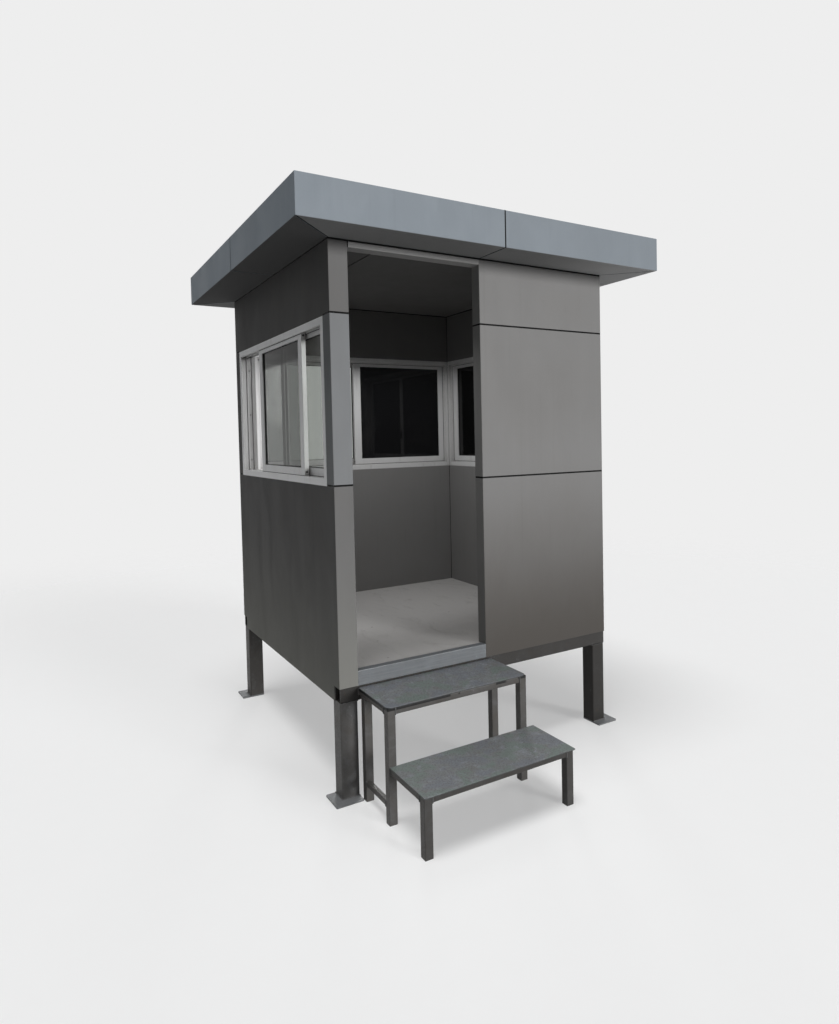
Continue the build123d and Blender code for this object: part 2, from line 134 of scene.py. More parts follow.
def edgeWear(mat, radius, share):
    # the whole share along a hard edge, none on the flat
    flat = addNode(mat, "NewGeometry").outputs["Normal"]
    likeness = addNode(mat, "VectorMath", {0: softEdge(mat, radius), 1: flat}, operation="DOT_PRODUCT")
    return calc(mat, "MULTIPLY", spread(mat, likeness.outputs["Value"], 0.995, 0.90), share)


def partOf(mat, vector, axis):
    return addNode(mat, "SeparateXYZ", {"Vector": vector}).outputs[axis]


def facing(mat, axis):
    # how far a face looks along an axis of the booth
    return partOf(mat, addNode(mat, "TexCoord").outputs["Normal"], axis)


def gray(value, warmth=0.0):
    # warmth above zero leans to brown, below zero to blue
    return (value * (1 + warmth), value, value * (1 - warmth), 1.0)


# folded composite sheet with a satin metallic coat
cladding = {
    "tone": 0.245, "metal": 0.04, "gloss": 0.58, "flake": 900.0, "waviness": 0.007, "rain": 0.5,
    "smearDepth": 0.16, "dirtAndLightFade": (0.60, -0.55), "edgeRound": 0.0015,
    "soffitFrom": 0.15, "soffitTo": 1.15, "soffitLightGain": 2.4, "soffitRough": 0.85,
}


def claddingCoat(name, toneGain, tint=0.012, dirtAndLightTop=1.0, dirtAndLight=0.6, dirtAndLightColor=(0.055, 0.047, 0.039, 1),
                 flankShade=0.0, flankDirtAndLight=1.0, soffitShade=0.0, edge=0.25, sheen=0.02):
    mat, place = startMaterial(name)
    tone, rain, gloss = cladding["tone"] * toneGain, cladding["rain"], cladding["gloss"]
    flake = noise(mat, place, cladding["flake"], 2.0)
    cloud = noise(mat, place, 1.7, 3.0)
    streak = noise(mat, stretched(mat, place, 38, 38, 1.1), 1.0, 5.0, 0.6)
    smear = noise(mat, stretched(mat, place, 6, 6, 2.2), 1.0, 6.0, 0.65, 0.6)
    color = blendColors(mat, flake, gray(tone * 0.90, tint), gray(tone * 1.10, tint))
    color = layer(mat, color, cloud, 0.35, 0.7, 0.30, gray(tone * 0.86, tint + 0.03))
    color = layer(mat, color, streak, 0.56, 0.78, 0.22 * rain, gray(tone * 1.25, tint))
    color = layer(mat, color, streak, 0.44, 0.22, 0.30 * rain, gray(tone * 0.70, tint + 0.03))
    sideways = calc(mat, "ABSOLUTE", facing(mat, "X"))
    if flankShade:  # painted shade: faces that look sideways are darker than what is folded round to the front and back
        color = layer(mat, color, sideways, 0.5, 0.9, flankShade, gray(0.003))
    # darker towards the foot, thickest there and fading out round the given top height: splashed dirt and
    # painted shade; where a lighter colour is given, as on the sides, it is a painted light from the floor
    height = calc(mat, "ADD", partOf(mat, place, "Z"), calc(mat, "MULTIPLY", smear, cladding["smearDepth"]))
    fadeOut, full = (dirtAndLightTop + reach for reach in cladding["dirtAndLightFade"])
    dirtAndLightMask = spread(mat, height, fadeOut, full, 0.0, dirtAndLight)
    dirtAndLightMask = calc(mat, "MULTIPLY", dirtAndLightMask, spread(mat, sideways, 0.5, 0.9, 1.0, flankDirtAndLight))
    color = blendColors(mat, dirtAndLightMask, color, dirtAndLightColor)
    rough = spread(mat, smear, 0.3, 0.75, gloss - 0.05, gloss + 0.10)
    if soffitShade:  # painted shade and light: the soffit gets its own tone, dark at the left and paler to the right; it is also rougher than the fascia it is folded from
        downward = spread(mat, facing(mat, "Z"), -0.5, -0.9)
        rightward = spread(mat, partOf(mat, place, "X"), cladding["soffitFrom"], cladding["soffitTo"])
        shadedSoffit, pale = gray(tone * soffitShade), gray(tone * soffitShade * cladding["soffitLightGain"])
        color = blendColors(mat, downward, color, blendColors(mat, rightward, shadedSoffit, pale))
        rough = calc(mat, "MAXIMUM", rough, calc(mat, "MULTIPLY", downward, cladding["soffitRough"]))
    # lighter along hard edges: wear, with a painted highlight, strongest on the folded fascia
    color = blendColors(mat, edgeWear(mat, cladding["edgeRound"], edge), color, gray(tone * 1.5, tint))
    normal = softEdge(mat, cladding["edgeRound"])
    normal = relief(mat, noise(mat, place, 2.3, 2.0), 0.6, cladding["waviness"], normal)
    normal = relief(mat, flake, 0.05, 0.0004, normal)
    return finishMaterial(mat, color, rough, normal, cladding["metal"], sheen)


# dull paint on steel: cloudy, rubbed to bare metal along the edges, a little rust
steel = {
    "metal": 0.25, "sheen": 0.35, "edgeRound": 0.0025, "wornEdge": 0.004,
    "bare": gray(0.30, -0.02), "rustColor": (0.11, 0.060, 0.034, 1),
    "dust": (gray(0.14, -0.03), gray(0.23, -0.03)), "dustShare": 0.9,
}
# a painted shadow on the rails stands for the open gap under the edge of the upper tread, long at the left
# end and broken beyond it
treadGapShadow = {
    "height": treadLow.z - 0.005, "half": 0.0058, "blur": 0.0006,
    "leftEnd": (treadLow.x + 0.352, treadLow.x + 0.292),
    "rightEnd": (treadHigh.x - 0.053, treadHigh.x - 0.043),
    "lowerStep": (treadLow.y - 0.0045, treadLow.y - 0.0065),
}


def mottled(mat, place, color, tone, share):
    # greenish and bluish patches a few centimetres across and dark specks; every face but the top is made
    # much darker, a painted shade
    patch = noise(mat, place, 7.5, 5.0, 0.66, 0.6)
    speck = noise(mat, place, 160.0, 3.0)
    color = layer(mat, color, patch, 0.50, 0.57, share, (tone * 0.80, tone * 1.02, tone * 0.92, 1))
    color = layer(mat, color, patch, 0.49, 0.42, share, (tone * 0.86, tone * 0.93, tone * 1.06, 1))
    color = layer(mat, color, speck, 0.52, 0.66, share, gray(tone * 0.6))
    # painted shade: faces that don't look up are made much darker
    return layer(mat, color, facing(mat, "Z"), 0.8, 0.4, 0.75, gray(0.01))


def gapShadowed(mat, place, color):
    half, blur = treadGapShadow["half"], treadGapShadow["blur"]
    away = calc(mat, "ABSOLUTE", calc(mat, "SUBTRACT", partOf(mat, place, "Z"), treadGapShadow["height"]))
    leftEnd = spread(mat, partOf(mat, place, "X"), *treadGapShadow["leftEnd"], 0.0, 0.20)
    rightEnd = spread(mat, partOf(mat, place, "X"), *treadGapShadow["rightEnd"], 0.0, 0.30)
    parted = noise(mat, stretched(mat, place, 9, 9, 0), 1.0, 2.0)
    parted = spread(mat, calc(mat, "ADD", parted, calc(mat, "ADD", leftEnd, rightEnd)), 0.57, 0.61)
    # the band is painted near black: the shadow of the gap
    gap = calc(mat, "MULTIPLY", spread(mat, away, half + blur, half - blur), parted)
    color = blendColors(mat, gap, color, gray(0.003))
    # the lower step is darker
    return layer(mat, color, partOf(mat, place, "Y"), *treadGapShadow["lowerStep"], 0.45, gray(0.006, 0.2))


def steelPaint(name, tone, warmth, wear, rust, blotch, patchiness=0.5, gloss=0.55,
               brushed=0.0, mottle=0.0, dustyPlate=False, underTread=False):
    mat, place = startMaterial(name)
    cloud = noise(mat, place, 9.0, 6.0, 0.6)
    fine = noise(mat, place, 160.0, 3.0)
    streak = noise(mat, stretched(mat, place, 70, 70, 5), 1.0, 5.0, 0.6)
    patch = noise(mat, place, blotch, 5.0, 0.62, 0.8)
    color = blendColors(mat, cloud, gray(tone * 0.78, warmth), gray(tone * 1.22, warmth))
    color = layer(mat, color, patch, 0.50, 0.66, patchiness, gray(tone * 1.5, warmth - 0.05))
    color = layer(mat, color, patch, 0.46, 0.30, patchiness, gray(tone * 0.72, warmth + 0.12))
    color = layer(mat, color, streak, 0.60, 0.75, 0.40, gray(tone * 0.6, warmth + 0.03))
    if mottle:
        color = mottled(mat, place, color, tone, mottle)
    if brushed:
        brush = noise(mat, stretched(mat, place, 4, 90, 260), 1.0, 4.0, 0.7)
        color = layer(mat, color, brush, 0.40, 0.65, brushed, gray(tone * 1.35, -0.06))
    scuff = spread(mat, cells(mat, place, 55.0), 0.05, 0.30, 1.0, 0.0)
    scuff = calc(mat, "MULTIPLY", scuff, spread(mat, patch, 0.5, 0.7, 0.0, wear * 0.6))
    rubbed = edgeWear(mat, steel["wornEdge"], spread(mat, cloud, 0.35, 0.6, 0.15, wear))
    color = blendColors(mat, calc(mat, "MAXIMUM", scuff, rubbed), color, steel["bare"])
    color = layer(mat, color, noise(mat, place, 24.0, 8.0, 0.7), 0.62, 0.74, rust, steel["rustColor"])
    if dustyPlate:
        dust = blendColors(mat, cloud, *steel["dust"])
        height = partOf(mat, place, "Z")
        color = layer(mat, color, height, basePlate + 0.001, basePlate, steel["dustShare"], dust)
    if underTread:
        color = gapShadowed(mat, place, color)
    rough = spread(mat, fine, 0.3, 0.7, gloss - 0.08, gloss + 0.12)
    normal = relief(mat, fine, 0.25, 0.0006, softEdge(mat, steel["edgeRound"]))
    normal = relief(mat, patch, 0.20, 0.0012, normal)
    return finishMaterial(mat, color, rough, normal, steel["metal"], steel["sheen"])


# baked white paint on the window sections
white = {
    "edgeRound": 0.0012, "wornEdge": 0.002, "recessShade": 0.12, "sheen": 0.4,
    "innerTrack": (left + 0.030, left + 0.060),
}


def whiteCoat(name, tone, jambShadeAndDirt=0.0):
    mat, place = startMaterial(name)
    orange = noise(mat, place, 420.0, 2.0)
    grime = noise(mat, stretched(mat, place, 30, 30, 4), 1.0, 6.0, 0.65)
    cloud = noise(mat, place, 5.0, 5.0)
    color = blendColors(mat, cloud, gray(tone * 0.95, 0.005), gray(tone * 1.05, -0.005))
    color = layer(mat, color, grime, 0.55, 0.78, 0.40, gray(tone * 0.55, 0.04))
    color = blendColors(mat, edgeWear(mat, white["wornEdge"], 0.35), color, gray(tone * 0.70, 0.02))
    # darker in recesses: painted shade, and grime that gathers there
    recessShade = addNode(mat, "AmbientOcclusion", {"Distance": white["recessShade"]}, samples=4).outputs["AO"]
    color = layer(mat, color, recessShade, 0.85, 0.35, 0.65, gray(tone * 0.40, 0.03))
    if jambShadeAndDirt:  # painted shade on what looks along the wall, with dirt in the tracks: it is darker, most of all at the inner track
        along = spread(mat, calc(mat, "ABSOLUTE", facing(mat, "Y")), 0.5, 0.9)
        inner = spread(mat, partOf(mat, place, "X"), *white["innerTrack"], jambShadeAndDirt, jambShadeAndDirt * 1.22)
        color = blendColors(mat, calc(mat, "MULTIPLY", along, inner), color, gray(0.03, 0.04))
    rough = spread(mat, grime, 0.3, 0.7, 0.34, 0.5)
    normal = relief(mat, orange, 0.08, 0.0003, softEdge(mat, white["edgeRound"]))
    return finishMaterial(mat, color, rough, normal, sheen=white["sheen"])


# each face of a pane lets its clear share of the light through; the rest meets a sheet whose colour is dust
# over a painted view of what lies beyond, painted shade on the dark panes and painted light on the pale one
glass = {"seen": (0.93, 0.945, 0.93, 1), "dust": (0.20, 0.20, 0.19, 1), "shine": 0.3}
# painted shade: over this height the pane is darker, less shows through it, and little is reflected
shade = {"height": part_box("left_window_frame")[1].z - 0.1605, "blur": 0.015, "clear": 0.45, "shine": 0.05}


def windowGlass(name, tint, clear, dusty=0.10, shaded=False, otherPane=None):
    mat, place = startMaterial(name)
    dust = noise(mat, stretched(mat, place, 3, 3, 3), 1.0, 7.0, 0.7, 0.7)
    streak = noise(mat, stretched(mat, place, 26, 26, 1.4), 1.0, 4.0)
    body = blendColors(mat, streak, tint, tuple(0.62 * value for value in tint[:3]) + (1,))
    share, shine = clear, glass["shine"]
    if shaded:
        height, blur = shade["height"], shade["blur"]
        above = spread(mat, partOf(mat, place, "Z"), height - blur, height + blur)
        body = blendColors(mat, above, body, gray(0.010))
        share = spread(mat, above, 0.0, 1.0, clear, clear * shade["clear"])
        shine = spread(mat, above, 0.0, 1.0, shine, shade["shine"])
    if otherPane:  # the pane further along has its own clear share and painted view: painted shade on the back window, painted light on the left one
        split = otherPane["from"]
        beyond = spread(mat, partOf(mat, place, "X"), split - 0.001, split + 0.001)
        share = spread(mat, beyond, 0.0, 1.0, share, otherPane["clear"])
        body = blendColors(mat, beyond, body, otherPane["tint"])
        if shaded:
            shine = spread(mat, beyond, 0.0, 1.0, shine, glass["shine"])
    dustAndView = addNode(mat, "BsdfPrincipled", {
        "Base Color": layer(mat, body, dust, 0.5, 0.8, dusty, glass["dust"]),
        "Roughness": spread(mat, dust, 0.4, 0.8, 0.03, 0.14), "Specular IOR Level": shine,
    })
    seen = addNode(mat, "BsdfTransparent", {"Color": glass["seen"]})
    mixer = addNode(mat, "MixShader", {0: share, 1: dustAndView.outputs["BSDF"], 2: seen.outputs["BSDF"]})
    addNode(mat, "OutputMaterial", {"Surface": mixer.outputs["Shader"]})
    return mat


def floorPanel(name):
    mat, place = startMaterial(name)
    grit = noise(mat, place, 260.0, 3.0)
    scuff = noise(mat, stretched(mat, place, 9, 3, 3), 1.0, 7.0, 0.7, 0.9)
    foot = noise(mat, place, 6.0, 5.0, 0.6, 0.4)
    color = blendColors(mat, grit, gray(0.49, 0.02), gray(0.62, 0.02))
    color = layer(mat, color, scuff, 0.52, 0.75, 0.4, gray(0.24, 0.06))
    color = layer(mat, color, foot, 0.55, 0.75, 0.3, gray(0.52, 0.02))
    # trodden darker towards the doorway
    walked = calc(mat, "ADD", partOf(mat, place, "Y"), calc(mat, "MULTIPLY", foot, 0.3))
    color = layer(mat, color, walked, 0.30, -0.30, 0.5, gray(0.15, 0.04))
    color = layer(mat, color, cells(mat, place, 6.0), 0.045, 0.020, 0.7, gray(0.10, 0.10))  # chips
    rough = spread(mat, scuff, 0.3, 0.7, 0.62, 0.8)
    return finishMaterial(mat, color, rough, relief(mat, grit, 0.2, 0.0005))


def roofCoat(name):
    mat, place = startMaterial(name)
    pool = noise(mat, place, 1.4, 6.0, 0.62, 0.5)
    run = noise(mat, stretched(mat, place, 30, 2, 2), 1.0, 6.0, 0.65)
    speck = noise(mat, place, 120.0, 3.0)
    color = blendColors(mat, speck, gray(0.34, -0.02), gray(0.42, -0.02))
    color = layer(mat, color, pool, 0.5, 0.72, 0.55, gray(0.20, 0.08))
    color = layer(mat, color, run, 0.55, 0.75, 0.4, gray(0.15, 0.10))
    rough = spread(mat, pool, 0.3, 0.7, 0.42, 0.68)
    return finishMaterial(mat, color, rough, relief(mat, speck, 0.2, 0.0005), metal=0.3)


def blackRubber(name, tone):
    mat, place = startMaterial(name)
    grain = noise(mat, place, 300.0, 3.0)
    dust = noise(mat, place, 14.0, 6.0, 0.65)
    color = blendColors(mat, grain, gray(tone * 0.7), gray(tone * 1.3))
    color = layer(mat, color, dust, 0.58, 0.8, 0.25, gray(tone * 4, 0.03))
    rough = spread(mat, dust, 0.3, 0.7, 0.6, 0.85)
    return finishMaterial(mat, color, rough, relief(mat, grain, 0.2, 0.0003), sheen=0.12)


def bareZinc(name, tone):
    mat, place = startMaterial(name)
    spangle = cells(mat, place, 180.0)
    stain = noise(mat, place, 40.0, 5.0, 0.65)
    color = blendColors(mat, spangle, gray(tone * 0.8, -0.02), gray(tone * 1.15, -0.02))
    color = layer(mat, color, stain, 0.56, 0.72, 0.5, (0.16, 0.10, 0.06, 1))
    rough = spread(mat, stain, 0.3, 0.7, 0.32, 0.55)
    return finishMaterial(mat, color, rough, relief(mat, stain, 0.2, 0.0004), metal=0.8)


noDirtAndLight = -2.0  # a coat whose foot tone, dirt with painted shade and light, ends at this height has none
# the folded fascia's edges get a strong painted highlight
folded = {"dirtAndLightTop": noDirtAndLight, "sheen": 0.12, "edge": 0.7}
oldPaint = {"rust": 0.35, "blotch": 11.0, "dustyPlate": True}
stepPaint = {"wear": 0.3, "blotch": 12.0, "gloss": 0.48, "underTread": True}
finishes = {
    # the front is darker towards the foot, dirt and painted shade, less so on faces that look sideways
    "front": claddingCoat("frontCoat", 1.0, dirtAndLightTop=1.15, dirtAndLight=0.78, flankDirtAndLight=0.3),
    "cornerCover": claddingCoat("cornerCoat", 0.96, tint=-0.03, dirtAndLightTop=0.75, dirtAndLight=0.35),
    # the sides are a darker copy of the cladding, painted shade, darker still on faces that look sideways,
    # and lighter towards the foot, a painted light from the floor
    "side": claddingCoat("shadedSideCoat", 0.70, dirtAndLightTop=0.8, dirtAndLight=0.75, dirtAndLightColor=(0.26, 0.26, 0.235, 1),
                         flankShade=0.35),
    # the door header is a much lighter copy of the cladding: painted light against the overhang's shade
    "header": claddingCoat("litHeaderCoat", 1.7, dirtAndLightTop=noDirtAndLight),
    "fascia": claddingCoat("fasciaCoat", 1.09, tint=-0.11, soffitShade=0.95, **folded),
    # the left fascia's soffit is a much darker copy: painted shade
    "fasciaLeftShaded": claddingCoat("fasciaCoatLeftShaded", 1.09, tint=-0.13, soffitShade=0.36, **folded),
    "lining": claddingCoat("liningCoat", 1.0, dirtAndLightTop=0.0),
    # a darker copy of the lining, for the ceiling and the lining over the windows: painted shade
    "ceiling": claddingCoat("shadedCeilingCoat", 0.66, dirtAndLightTop=noDirtAndLight),
    # the back legs and the front right leg are darker copies of the leg paint: painted shade
    "legs": steelPaint("legPaint", 0.082, 0.03, wear=0.5, **oldPaint),
    "legBackShaded": steelPaint("legPaintShadedBack", 0.055, 0.07, wear=0.4, **oldPaint),
    "legRightShaded": steelPaint("legPaintShadedRight", 0.015, 0.10, wear=0.4, **oldPaint),
    "beams": steelPaint("beamPaint", 0.024, 0.07, wear=0.4, rust=0.30, blotch=8.0),
    "tread": steelPaint("treadPaint", 0.168, -0.03, wear=0.08, rust=0.35, blotch=24.0, patchiness=0.7,
                        gloss=0.50, mottle=0.8),
    "stepLegs": steelPaint("stepLegPaint", 0.070, 0.05, rust=0.55, **stepPaint),
    "stepRails": steelPaint("stepRailPaint", 0.060, 0.06, rust=0.60, **stepPaint),
    "threshold": steelPaint("thresholdPaint", 0.140, -0.06, wear=1.0, rust=0.1, blotch=6.0,
                            patchiness=0.25, gloss=0.42, brushed=0.5),
    "hidden": steelPaint("hiddenPrimer", 0.05, 0.06, wear=0.1, rust=0.4, blotch=7.0),
    "weld": steelPaint("weldPaint", 0.060, 0.02, wear=0.2, rust=0.6, blotch=60.0),
    "frame": whiteCoat("windowWhite", 0.70),
    # the left window's frame and sashes are lighter copies of the white: painted light
    "frameLitLeft": whiteCoat("windowWhiteLitLeft", 0.86, jambShadeAndDirt=0.70),
    "sashLitLeft": whiteCoat("sashWhiteLitLeft", 0.82, jambShadeAndDirt=0.16),
    # the right window's panes are painted near black and almost opaque: painted shade of the view through
    # them
    "glassDark": windowGlass("glassDark", (0.002, 0.002, 0.002, 1), 0.02, dusty=0.02),
    "glassBack": windowGlass("glassBack", (0.020, 0.021, 0.020, 1), 0.69, otherPane={
        "from": 0.0, "clear": 0.05, "tint": (0.006, 0.006, 0.007, 1),
    }),
    "glassPale": windowGlass("glassPale", (0.051, 0.058, 0.053, 1), 0.50, shaded=True, otherPane={
        "from": left + 0.039, "clear": 0.87, "tint": (0.58, 0.57, 0.54, 1),
    }),
    "floor": floorPanel("floorPanel"),
    "roof": roofCoat("roofCoat"),
    "sealant": blackRubber("blackSealant", 0.006),
    "gasket": blackRubber("blackGasket", 0.014),
    "latch": blackRubber("latchPlastic", 0.030),
    "screw": bareZinc("bareZinc", 0.45),
    "darkScrew": bareZinc("stainedZinc", 0.05),
}
# the first of these that a node's name starts with is its finish
nodeFinish = {
    "leg_front_right": "legRightShaded", "leg_back": "legBackShaded", "leg_": "legs",
    "base_beams": "beams", "floor_joists": "beams", "wall_": "hidden", "roof_rafters": "hidden",
    "door_threshold": "threshold", "door_header": "header", "floor_board": "floor", "roof_sheet": "roof",
    "front_panel": "front", "left_panel": "side", "right_panel": "side", "back_panel": "side",
    "corner_cover_front": "cornerCover", "corner_covers_back": "side",
    "fascia_left": "fasciaLeftShaded", "fascia": "fascia",
    # the lining over the windows takes the ceiling's darker coat: painted shade
    "lining_over": "ceiling", "lining": "lining", "ceiling": "ceiling",
    "upper_tread": "tread", "lower_tread": "tread", "step_legs": "stepLegs", "step_rails": "stepRails",
    "left_window_glass": "glassPale", "back_window_glass": "glassBack", "right_window_glass": "glassDark",
    "left_window_frame": "frameLitLeft", "left_window_sashes": "sashLitLeft",
    "back_window": "frame", "right_window": "frame",
}
for name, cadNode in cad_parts.items():
    finish = next(value for key, value in nodeFinish.items() if name.startswith(key))
    cadNode.data.materials.clear()
    cadNode.data.materials.append(finishes[finish])
print("finishes set")


# pieces are modelled by these: everything is let go first, then faces are picked by place or normal
def letGo():
    if bpy.context.mode != "OBJECT":
        bpy.ops.object.mode_set(mode="OBJECT")
    bpy.ops.object.select_all(action="DESELECT")


def settle():
    bpy.ops.object.transform_apply(location=True, rotation=True, scale=True)


def addBar(name, low, high):
    letGo()
    low, high = Vector(low), Vector(high)
    bpy.ops.mesh.primitive_cube_add(size=1, location=(low + high) / 2)
    bar = bpy.context.object
    bar.name = name
    bar.scale = high - low
    settle()
    return bar


def addRod(sides, radius, depth, middle):
    # stands over the origin, its middle at this height
    letGo()
    bpy.ops.mesh.primitive_cylinder_add(vertices=sides, radius=radius, depth=depth, location=(0, 0, middle))
    return bpy.context.object


def startPicking(piece, kind):
    bpy.context.view_layer.objects.active = piece
    bpy.ops.object.mode_set(mode="EDIT")
    bpy.ops.mesh.select_mode(type=kind)
    bpy.ops.mesh.select_all(action="DESELECT")
    return bmesh.from_edit_mesh(piece.data)


def pickFaces(piece, wanted):
    shell = startPicking(piece, "FACE")
    for face in shell.faces:
        face.select_set(wanted(face.calc_center_median(), face.normal))
    bmesh.update_edit_mesh(piece.data)


def pickEdges(piece, wanted):
    shell = startPicking(piece, "EDGE")
    for edge in shell.edges:
        edge.select_set(wanted(edge.verts[0].co, edge.verts[1].co))
    bmesh.update_edit_mesh(piece.data)


def pickAll(piece):
    pickFaces(piece, lambda middle, normal: True)


def pickTop(piece):
    pickFaces(piece, lambda middle, normal: normal.z > 0.9)


def leaveEdit():
    bpy.ops.object.mode_set(mode="OBJECT")


def smooth(piece, degrees):
    letGo()
    piece.select_set(True)
    bpy.context.view_layer.objects.active = piece
    bpy.ops.object.shade_smooth_by_angle(angle=math.radians(degrees))


def useModifier(piece, kind, **settings):
    modifier = piece.modifiers.new(kind.lower(), kind)
    for name, value in settings.items():
        setattr(modifier, name, value)
    bpy.context.view_layer.objects.active = piece
    bpy.ops.object.modifier_apply(modifier=modifier.name)


def copyTo(source, place, turn=None):
    twin = source.copy()
    twin.data = source.data.copy()
    bpy.context.collection.objects.link(twin)
    twin.data.transform(Matrix.Translation(place) @ (turn or Matrix.Identity(4)))
    return twin


def turnTowards(direction):
    # what pointed up points along the direction
    return Vector(direction).to_track_quat("Z", "Y").to_matrix().to_4x4()


def turnOnto(across, face):
    # what lay along x lies across, what pointed up points along the face
    return Matrix((across, face.cross(across), face)).transposed().to_4x4()


def joined(parts):
    letGo()
    for part in parts:
        part.select_set(True)
    bpy.context.view_layer.objects.active = parts[0]
    bpy.ops.object.join()
    return parts[0]


def joinAs(name, parts, finish):
    piece = joined(parts)
    piece.name = piece.data.name = name
    piece.data.materials.clear()
    piece.data.materials.append(finishes[finish])
    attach(piece, "root")
    return piece


def drop(piece):
    bpy.data.objects.remove(piece, do_unlink=True)


def solidsOf(node):
    # lowest and highest corners of each separate solid of a CAD node
    shell = bmesh.new()
    shell.from_mesh(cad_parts[node].data)
    bmesh.ops.remove_doubles(shell, verts=shell.verts, dist=1e-6)
    boxes, seen = [], set()
    for start in shell.verts:
        if start in seen:
            continue
        seen.add(start)
        reached, island = [start], []
        while reached:
            vert = reached.pop()
            island.append(vert.co.copy())
            for edge in vert.link_edges:
                other = edge.other_vert(vert)
                if other not in seen:
                    seen.add(other)
                    reached.append(other)
        low = Vector(min(co[i] for co in island) for i in range(3))
        high = Vector(max(co[i] for co in island) for i in range(3))
        boxes.append((low, high))
    shell.free()
    return boxes


# black sealant in the open joints, each run tooled hollow; the runs along the top of the walls stand for the
# shadow in the open gap under the soffit
sealant = {
    "recess": 0.0012, "depth": 0.0030, "lip": 0.0018, "dish": 0.0012, "cove": 0.0055,
    "roofHalf": 0.004, "liningJoint": 0.006,
    "ceilingRun": (0.2005, 0.2095),  # from the left edge of the ceiling; within the sheet, short of its joint
}


def sealantRun(axis, side, plane, spans):
    low, high = [0, 0, 0], [0, 0, 0]
    for along, (start, end) in spans.items():
        low[along], high[along] = min(start, end), max(start, end)
    outer = plane - side * sealant["recess"]
    inner = outer - side * sealant["depth"]
    low[axis], high[axis] = min(outer, inner), max(outer, inner)
    run = addBar("sealantRun", low, high)
    pickFaces(run, lambda middle, normal: normal[axis] * side > 0.9)
    bpy.ops.mesh.inset(thickness=sealant["lip"])
    hollow = [0, 0, 0]
    hollow[axis] = -side * sealant["dish"]
    bpy.ops.transform.translate(value=hollow)
    leaveEdit()
    return run


def wallSealant():
    runs = []
    coverLow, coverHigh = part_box("corner_covers_back")
    corner = coverHigh.y - coverLow.y  # how far a post's cover reaches along the wall beside it
    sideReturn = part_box("left_panel_lower")[1].x - left
    gap = sillJoint[1] - sillJoint[0]
    postBack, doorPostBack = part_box("corner_cover_front_left")[1].y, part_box("lining_front")[0].y
    nearLeft, nearRight = left + sealant["recess"], right - sealant["recess"]
    nearFront, nearBack = front + sealant["recess"], back - sealant["recess"]
    for level in (sillJoint, headJoint):
        runs += [
            sealantRun(x, -1, left, {y: (nearFront, front + corner), z: level}),
            sealantRun(y, -1, front, {x: (nearLeft, doorLeft), z: level}),
            sealantRun(x, 1, doorLeft, {y: (nearFront, postBack), z: level}),
            sealantRun(x, -1, doorRight, {y: (nearFront, doorPostBack), z: level}),
            sealantRun(y, -1, front, {x: (doorRight, nearRight), z: level}),
            sealantRun(x, 1, right, {y: (nearFront, front + corner), z: level}),
            sealantRun(x, -1, left, {y: (back - corner, nearBack), z: level}),
            sealantRun(x, 1, right, {y: (back - corner, nearBack), z: level}),
            sealantRun(y, 1, back, {x: (nearLeft, left + corner), z: level}),
            sealantRun(y, 1, back, {x: (right - corner, nearRight), z: level}),
        ]
    for bottom, top in ((sheetBottom, sillJoint[0]), (headJoint[1], topJoint[0])):
        runs.append(sealantRun(x, 1, right, {y: (front + corner, front + corner + gap), z: (bottom, top)}))
    for bottom, top in ((sheetBottom, sillJoint[0]), (headJoint[0], topJoint[0])):
        for edge in (left + sideReturn, right - sideReturn - gap):
            runs.append(sealantRun(y, 1, back, {x: (edge, edge + gap), z: (bottom, top)}))
    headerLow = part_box("door_header")[0]
    runs += [
        # along the top of the walls a black run fills the open gap under the soffit: a painted shadow
        sealantRun(x, -1, left, {y: (nearFront, nearBack), z: topJoint}),
        sealantRun(x, 1, right, {y: (nearFront, nearBack), z: topJoint}),
        sealantRun(y, -1, front, {x: (nearLeft, nearRight), z: topJoint}),
        sealantRun(y, 1, back, {x: (nearLeft, nearRight), z: topJoint}),
        sealantRun(y, -1, front, {x: (doorLeft, headerLow.x), z: (headerLow.z, topJoint[0])}),
    ]
    return joinAs("panelSealant", runs, "sealant")


def roofSealant():
    runs = []
    eaveFront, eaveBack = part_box("fascia_front")[0].y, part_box("fascia_back")[1].y
    eaveLeft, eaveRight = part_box("fascia_left")[0].x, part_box("fascia_right")[1].x
    upright = (soffit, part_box("fascia_front")[1].z)
    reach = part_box("fascia_front")[1].y - eaveFront
    middle, half = (front + back) / 2, sealant["roofHalf"]
    for side, eave in ((-1, eaveFront), (1, eaveBack)):
        runs.append(sealantRun(y, side, eave, {x: (-half, half), z: upright}))
        runs.append(sealantRun(z, -1, soffit, {x: (-half, half), y: (eave, eave - side * reach)}))
    for side, eave in ((-1, eaveLeft), (1, eaveRight)):
        across = (middle - half, middle + half)
        runs.append(sealantRun(x, side, eave, {y: across, z: upright}))
        runs.append(sealantRun(z, -1, soffit, {x: (eave, eave - side * reach), y: across}))
    for sideX, eaveX in ((-1, eaveLeft), (1, eaveRight)):
        for sideY, eaveY in ((-1, eaveFront), (1, eaveBack)):
            mitre = sealantRun(z, -1, 0, {x: (half, reach * math.sqrt(2)), y: (-half, half)})
            turn = Matrix.Rotation(math.atan2(-sideY, -sideX), 4, "Z")
            mitre.data.transform(Matrix.Translation((eaveX, eaveY, soffit)) @ turn)
            runs.append(mitre)
    return joinAs("roofSealant", runs, "sealant")


